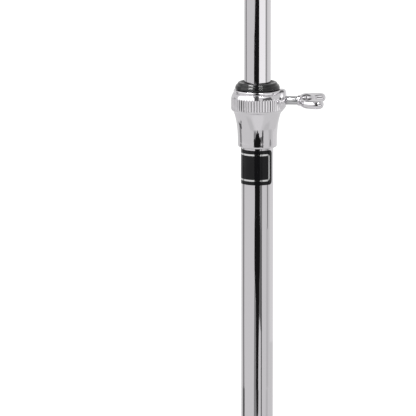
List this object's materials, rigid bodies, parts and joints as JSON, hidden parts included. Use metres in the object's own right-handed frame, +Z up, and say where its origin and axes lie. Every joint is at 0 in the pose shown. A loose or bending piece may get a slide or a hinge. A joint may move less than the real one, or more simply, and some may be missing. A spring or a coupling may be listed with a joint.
{
  "type": "practice pad stand",
  "caption": "Folding tripod stand for a drum practice pad: two chromed telescoping tubes, fluted height clamp with wing screw, tilter and threaded stud.",
  "frame": {"origin": "on the floor, in the middle of the open stand's outline box", "axes": "+Z up along the tubes, +X the way both collars' wing screws point"},
  "size_m": [0.4025, 0.464, 0.7714],
  "materials": {
    "chrome": "bright chrome plate on steel",
    "cast_chrome": "chrome plate on die-cast zinc",
    "zinc": "zinc-plated steel",
    "black_nylon": "moulded black nylon",
    "white_nylon": "moulded natural nylon",
    "rubber": "matt black rubber",
    "label": "thin black vinyl"
  },
  "bodies": {
    "base": {"lower_tube": "chrome", "tube_end_cap": "black_nylon", "base_hub": "cast_chrome", "base_hub_pin": "zinc", "brace_pin_1": "zinc", "brace_pin_2": "zinc", "brace_pin_3": "zinc", "height_collar": "cast_chrome", "height_bushing": "black_nylon", "height_label": "label"},
    "leg_collar": {"leg_collar": "cast_chrome", "leg_rivet_1": "zinc", "leg_rivet_2": "zinc", "leg_rivet_3": "zinc"},
    "leg_clamp_shoe": {"leg_clamp_shoe": "white_nylon"},
    "leg_wing_screw": {"leg_wing_screw": "cast_chrome"},
    "height_clamp_shoe": {"height_clamp_shoe": "white_nylon"},
    "height_wing_screw": {"height_wing_screw": "cast_chrome"},
    "tube_guide": {"tube_guide": "white_nylon"},
    "upper_tube": {"upper_tube": "chrome", "tilter_base": "cast_chrome", "tilter_pin": "zinc", "tilter_friction_washer": "white_nylon"},
    "tilter_washer": {"tilter_washer": "zinc"},
    "tilter_wing_screw": {"tilter_wing_screw": "cast_chrome"},
    "tilter_head": {"tilter_head": "cast_chrome", "pad_stud": "zinc"},
    "pad_washer": {"pad_washer": "zinc"},
    "pad_lock_nut": {"pad_lock_nut": "zinc"},
    "brace_1": {"brace_1": "chrome"},
    "leg_1": {"leg_1": "chrome", "foot_1": "rubber", "brace_rivet_1": "zinc"},
    "brace_2": {"brace_2": "chrome"},
    "leg_2": {"leg_2": "chrome", "foot_2": "rubber", "brace_rivet_2": "zinc"},
    "brace_3": {"brace_3": "chrome"},
    "leg_3": {"leg_3": "chrome", "foot_3": "rubber", "brace_rivet_3": "zinc"}
  },
  "joints": [
    {"name": "brace_1_fold", "type": "hinge", "parent": "base", "child": "brace_1", "pos_m": [0.03835, 0, 0.03], "axis": [0, 1, 0], "range_deg": [0, 53.5]},
    {"name": "leg_1_fold", "type": "hinge", "parent": "brace_1", "child": "leg_1", "pos_m": [-0.05995, 0, 0.09883], "axis": [0, 1, 0], "range_deg": [-107.1, 0.1]},
    {"name": "brace_2_fold", "type": "hinge", "parent": "base", "child": "brace_2", "pos_m": [0.07435, -0.02079, 0.03], "axis": [-0.866, -0.5, 0], "range_deg": [-0.1, 53.6]},
    {"name": "leg_2_fold", "type": "hinge", "parent": "brace_2", "child": "leg_2", "pos_m": [0.1235, -0.10591, 0.09883], "axis": [-0.866, -0.5, 0], "range_deg": [-107.1, 0.1]},
    {"name": "brace_3_fold", "type": "hinge", "parent": "base", "child": "brace_3", "pos_m": [0.07435, 0.02079, 0.03], "axis": [0.866, -0.5, 0], "range_deg": [-0.1, 53.6]},
    {"name": "leg_3_fold", "type": "hinge", "parent": "brace_3", "child": "leg_3", "pos_m": [0.1235, 0.10591, 0.09883], "axis": [0.866, -0.5, 0], "range_deg": [-107.1, 0.1]},
    {"name": "leg_collar_slide", "type": "hinge", "parent": "leg_1", "child": "leg_collar", "pos_m": [0.03835, 0, 0.16766], "axis": [0, 1, 0], "range_deg": [-0.1, 53.6]},
    {"name": "leg_press", "type": "slide", "parent": "leg_collar", "child": "leg_clamp_shoe", "axis": [1, 0, 0], "range_m": [-0.00001, 0.00201]},
    {"name": "leg_wing_turn", "type": "hinge", "parent": "leg_clamp_shoe", "child": "leg_wing_screw", "pos_m": [0.06235, 0, 0.18316], "axis": [1, 0, 0], "range_deg": [0, 720]},
    {"name": "height_press", "type": "slide", "parent": "base", "child": "height_clamp_shoe", "axis": [1, 0, 0], "range_m": [-0.00001, 0.00201]},
    {"name": "height_wing_turn", "type": "hinge", "parent": "height_clamp_shoe", "child": "height_wing_screw", "pos_m": [0.06235, 0, 0.498], "axis": [1, 0, 0], "range_deg": [0, 720]},
    {"name": "height_slide", "type": "slide", "parent": "base", "child": "tube_guide", "axis": [0, 0, 1], "range_m": [-0.165, 0.15]},
    {"name": "upper_tube_turn", "type": "hinge", "parent": "tube_guide", "child": "upper_tube", "pos_m": [0.06235, 0, 0.6994], "axis": [0, 0, 1], "continuous": true},
    {"name": "tilter_press", "type": "slide", "parent": "upper_tube", "child": "tilter_washer", "axis": [1, 0, 0], "range_m": [-0.00001, 0.00201]},
    {"name": "tilter_wing_turn", "type": "hinge", "parent": "tilter_washer", "child": "tilter_wing_screw", "pos_m": [0.06235, 0, 0.7164], "axis": [1, 0, 0], "range_deg": [0, 720]},
    {"name": "tilt", "type": "hinge", "parent": "upper_tube", "child": "tilter_head", "pos_m": [0.06235, 0, 0.7164], "axis": [1, 0, 0], "range_deg": [-80, 80]},
    {"name": "pad_washer_lift", "type": "slide", "parent": "tilter_head", "child": "pad_washer", "axis": [0, 0, 1], "range_m": [-0.00501, 0.01001]},
    {"name": "pad_nut_turn", "type": "hinge", "parent": "pad_washer", "child": "pad_lock_nut", "pos_m": [0.06235, 0, 0.7424], "axis": [0, 0, 1], "range_deg": [-1440, 2880]}
  ],
  "couplings": [
    {"joint": "leg_1_fold", "follows": "brace_1_fold", "ratio": -2},
    {"joint": "brace_2_fold", "follows": "brace_1_fold", "ratio": 1},
    {"joint": "leg_2_fold", "follows": "brace_1_fold", "ratio": -2},
    {"joint": "brace_3_fold", "follows": "brace_1_fold", "ratio": 1},
    {"joint": "leg_3_fold", "follows": "brace_1_fold", "ratio": -2},
    {"joint": "leg_collar_slide", "follows": "brace_1_fold", "ratio": 1},
    {"joint": "leg_press", "follows": "leg_wing_turn", "m_per_rad": 0.00015915},
    {"joint": "height_press", "follows": "height_wing_turn", "m_per_rad": 0.00015915},
    {"joint": "tilter_press", "follows": "tilter_wing_turn", "m_per_rad": 0.00015915},
    {"joint": "pad_washer_lift", "follows": "pad_nut_turn", "m_per_rad": 0.00019894}
  ]
}
